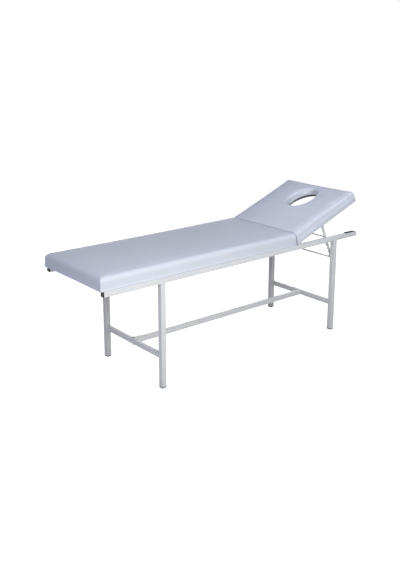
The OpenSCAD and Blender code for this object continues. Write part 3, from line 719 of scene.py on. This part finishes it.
def finish_pad(piece, body, cover, foam):
    """Smooths and subdivides a pad, attaches it to its body and hides the CAD cover and foam."""
    piece.data.shade_smooth()
    fine = piece.modifiers.new("fine", "SUBSURF")
    fine.levels = fine.render_levels = 1
    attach(piece, body)
    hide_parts(cover, foam)


main_low, main_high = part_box("main_cover")
pad_width = main_high[1] - main_low[1]
main_size = (main_high[0] - main_low[0], pad_width, (main_high[0] + main_low[0]) / 2 - pad_origin[0])
main_counts = (140, 50)
section = outer_section()
rows = np.stack([ring(main_size, 1, row, main_counts) for row in section])
rows = gather(rows, section[:, 1], 1, main_counts)
row_count, column_count = rows.shape[:2]

# Its top is one sheet: a patch stretched between the four sides of the first ring, split at the
# corners' middles, each point the sum of the two straight blends less the blend of the corners. The
# crown lifts it by powers of the distance from the middle, so that it is flattest along the couch.
corner = corner_middles(main_counts)
numbers = np.arange(column_count)
near = numbers[corner[2]:corner[3] + 1]
far = numbers[corner[0]:corner[1] + 1][::-1]
foot = numbers[corner[1]:corner[2] + 1][::-1]
head = np.arange(corner[3], column_count + corner[0] + 1) % column_count
edge = rows[0]
u = (edge[near, 0] - edge[near[0], 0]) / (edge[near[-1], 0] - edge[near[0], 0])
v = (edge[foot, 1] - edge[foot[0], 1]) / (edge[foot[-1], 1] - edge[foot[0], 1])
uu, vv = u[:, None, None], v[None, :, None]
patch = ((1 - vv) * edge[near][:, None] + vv * edge[far][:, None]
         + (1 - uu) * edge[foot][None] + uu * edge[head][None]
         - (1 - uu) * (1 - vv) * edge[near[0]] - uu * (1 - vv) * edge[near[-1]]
         - (1 - uu) * vv * edge[far[0]] - uu * vv * edge[far[-1]])
flat_along, flat_across = 5, 2.4
lift = (1 - np.abs(2 * uu - 1) ** flat_along) * (1 - np.abs(2 * vv - 1) ** flat_across)
patch[..., 2] += (crown * lift)[..., 0]
order = np.full(patch.shape[:2], -1)
order[:, 0], order[:, -1], order[0, :], order[-1, :] = near, far, foot, head
inside = patch[1:-1, 1:-1].reshape(-1, 3)
order[1:-1, 1:-1] = row_count * column_count + np.arange(len(inside)).reshape(patch.shape[0] - 2, -1)
top_faces = np.stack([order[:-1, :-1], order[1:, :-1], order[1:, 1:], order[:-1, 1:]], -1)
top_faces = top_faces.reshape(-1, 4).tolist()

# Over the board it is closed by strips from side to side, between columns that mirror each other.
steps = np.arange(column_count // 2)
mirror = column_count - main_counts[1] // 2
strips = np.column_stack([mirror + steps, mirror - steps, mirror - steps - 1, mirror + steps + 1])
strips = (strips % column_count + (row_count - 1) * column_count).tolist()
strips[0].pop(1)
strips[-1].pop(3)
points = np.concatenate([rows.reshape(-1, 3), inside])
main_pad = new_piece("main_pad", place_in_couch(points, 0.0),
                     grid_faces(row_count, column_count) + top_faces + strips, vinyl)
held = np.arange((row_count - held_rows) * column_count, row_count * column_count)
relax(main_pad, held, limits(points, main_high[0] - pad_origin[0]))
finish_pad(main_pad, "frame", "main_cover", "main_foam")
staple_row = (14 * mm, 0, 0)
pad_staples("main_staples", [ring(main_size, 1, staple_row, main_counts)], 0.0, "frame")

# The headrest pad: the same vinyl and foam, with an oval face hole. Its lining hangs straight and
# then spreads to a wider hole in the board. The cover is one closed skin from there to the outside.
head_reach = 560 * mm
hole_length, hole_width = 216 * mm, 166 * mm
hole_back = 178 * mm
rim_r = 14 * mm
flare_w, flare_h = 24 * mm, 30 * mm
flare_sag = 0.04
hole_hem_r, hole_hem_w = 3 * mm, 14 * mm
board_clear = 0.9 * mm
head_counts = (54, 54)
top_rows = 24
crown_power = 0.6
lining_held_rows = 9
gap = float(pad_origin[0] - main_high[0])
head_size = (head_reach - gap, pad_width, (gap + head_reach) / 2)
hole_x = head_reach - hole_back
head_columns = 2 * sum(head_counts) + 4 * corner_columns
head_middle = 2 * corner_columns + head_counts[0] + head_counts[1] / 2


def hole_ring(out, z):
    """An oval round the face hole, out from its wall: cosine and sine of an even angle."""
    turn = math.pi + 2 * math.pi * (np.arange(head_columns) - head_middle) / head_columns
    return np.column_stack([hole_x + (hole_length / 2 + out) * np.cos(turn),
                            (hole_width / 2 + out) * np.sin(turn), np.full(head_columns, z)])


def lining_out(z):
    """How far the spreading lining stands out from the hole's wall at a height: a straight slope that
    sags inwards a little towards its foot."""
    below = flare_h - z
    return start_in + flare_w * below / (flare_h - hole_hem_r) * (1 - flare_sag * below / flare_h)


outside = np.stack([ring(head_size, -1, row, head_counts) for row in section])
outside = gather(outside, section[:, 1], -1, head_counts)
board_hole = flare_w + hole_hem_r + board_clear
hem_out = flare_w + hole_hem_w
under = [(board_hole, board_top), (board_hole, cover_t), (hem_out, cover_t), (hem_out, 0),
         (flare_w + 8 * mm, 0), (flare_w + hole_hem_r, 0), (flare_w + 1.3 * mm, 0.8 * mm)]
spread = [(lining_out(z), z) for z in np.linspace(hole_hem_r, flare_h, 9)]
wall = [(start_in, z) for z in np.linspace(flare_h, pad_t - rim_r, 7)[1:-1]]
turn = np.linspace(0, math.pi / 2, 7)
rim_swing = rim_r - start_in
rim = [(rim_r - rim_swing * math.cos(a), pad_t - rim_r + rim_swing * math.sin(a)) for a in turn]
inner = np.stack([hole_ring(h, z) for h, z in under + spread + wall + rim])
share = np.linspace(0, 1, top_rows + 2)[1:-1, None, None]
across_top = inner[-1][None] * (1 - share) + outside[0][None] * share
across_top[..., 2] += (crown * np.sin(math.pi * share) ** crown_power)[..., 0]
rows = np.concatenate([inner, across_top, outside])
row_count = len(rows)
faces = grid_faces(row_count, head_columns)
j = (row_count - 1) * head_columns
numbers = np.arange(head_columns)
ahead = np.roll(numbers, -1)
faces += np.column_stack([j + numbers, numbers, ahead, j + ahead]).tolist()
points = rows.reshape(-1, 3)
head_pad = new_piece("headrest_pad", place_in_couch(points, tilt), faces, vinyl)
held = np.concatenate([np.arange(lining_held_rows * head_columns),
                       np.arange((row_count - held_rows) * head_columns, row_count * head_columns)])
relax(head_pad, held, limits(points, gap))
finish_pad(head_pad, "headrest", "headrest_cover", "headrest_foam")
hole_staples = flare_w + 9 * mm
pad_staples("headrest_staples",
            [ring(head_size, -1, staple_row, head_counts), hole_ring(hole_staples, 0)], tilt, "headrest")

# Low in the face hole, a thin dark band follows the lining as it spreads. It is painted shade: a dark
# sheet that stands in for the shadow at the foot of the hole's wall.
band_low, band_high = 3.5 * mm, 23 * mm
band_t = 0.5 * mm
band_rows = 6
band_inner, band_outer = -2.4 * band_t, 2 * band_t
# The band's two near-black tones: painted shade, not the colour of any real cloth.
shade_band_color = (0.030, 0.031, 0.036, 1)
shade_band_second = (0.055, 0.056, 0.062, 1)
shade_band_speckle_per_metre = 900
shade_band_speckle_depth = 0.15 * mm
# The dark band's material: painted shade, with a fine speckled tone and relief.
cloth_and_shade_band, tree, output = new_material("painted_shade_band")
skin = add_shader(tree, output, roughness=0.9, Specular_IOR_Level=0.15, Sheen_Weight=0.2)
place = object_place(tree)
shade_band_speckle = noise(tree, place, shade_band_speckle_per_metre, 4, 0.7)
tone = span(tree, shade_band_speckle, 0.3, 0.7, 0.0, 1.0)
tree.links.new(mix_color(tree, tone, shade_band_color, shade_band_second), skin.inputs["Base Color"])
add_relief(tree, skin, shade_band_speckle, shade_band_speckle_depth, 0.8)

levels = np.linspace(band_low, band_high, band_rows)
band_section = [(lining_out(z) + band_inner, z) for z in levels]
band_section += [(lining_out(z) + band_outer, z) for z in levels[::-1]]
points, faces = join_closed([np.stack([hole_ring(out, z) for out, z in band_section])])
# The band of painted shade, turned with the headrest.
band = new_piece("hole_shade_band", place_in_couch(points, tilt), faces, cloth_and_shade_band)
band.data.shade_smooth()
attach(band, "headrest")

# The prop arms: flat steel bars with half-round notches, cut, drilled and joined by a riveted
# spacer rod, and powder coated like the frame.
finish_nodes(coat, "prop_arm_near", "prop_arm_far", "arm_spacer_rod")
